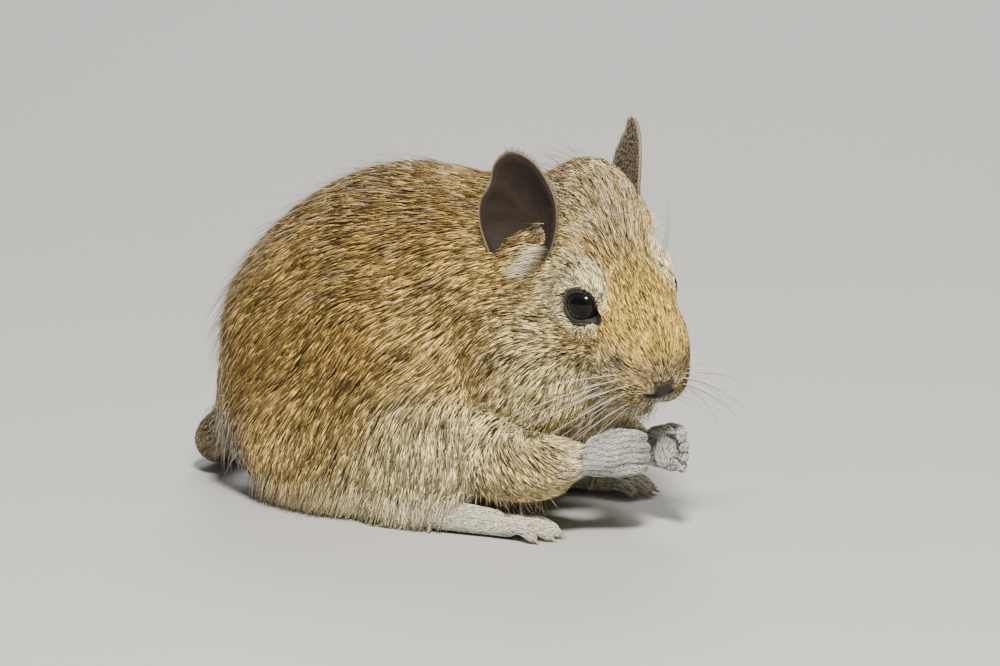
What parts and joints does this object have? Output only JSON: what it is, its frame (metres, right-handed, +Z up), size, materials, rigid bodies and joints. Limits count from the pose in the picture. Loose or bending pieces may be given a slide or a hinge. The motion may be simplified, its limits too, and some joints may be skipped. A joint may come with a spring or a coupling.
{
  "type": "degu figure",
  "caption": "Life-size degu crouched on its hind feet with both forepaws held up to its mouth and its brush-tipped tail curled round.",
  "frame": {"origin": "middle of the whole figure's box, on the ground", "axes": "+X forward along the body, +Y to the animal's left, +Z up"},
  "size_m": [0.13, 0.0886, 0.0868],
  "materials": {
    "coat": "soft agouti fur",
    "pale_coat": "short pale fur",
    "ear_skin": "thin bare skin",
    "eye": "wet gloss",
    "tail_brush": "bristly dark hair"
  },
  "bodies": {
    "root": {"head": "coat", "neck": "coat", "torso": "coat", "hindleg_r": "coat", "hindleg_l": "coat", "foreleg_r": "coat", "foreleg_l": "coat", "tail_1": "coat", "tail_2": "coat", "tail_3": "coat", "tail_4": "tail_brush", "forefoot_r": "pale_coat", "forefoot_l": "pale_coat", "hindfoot_r": "pale_coat", "hindfoot_l": "pale_coat", "ear_r": "ear_skin", "ear_l": "ear_skin", "eye_r": "eye", "eye_l": "eye"}
  },
  "joints": []
}
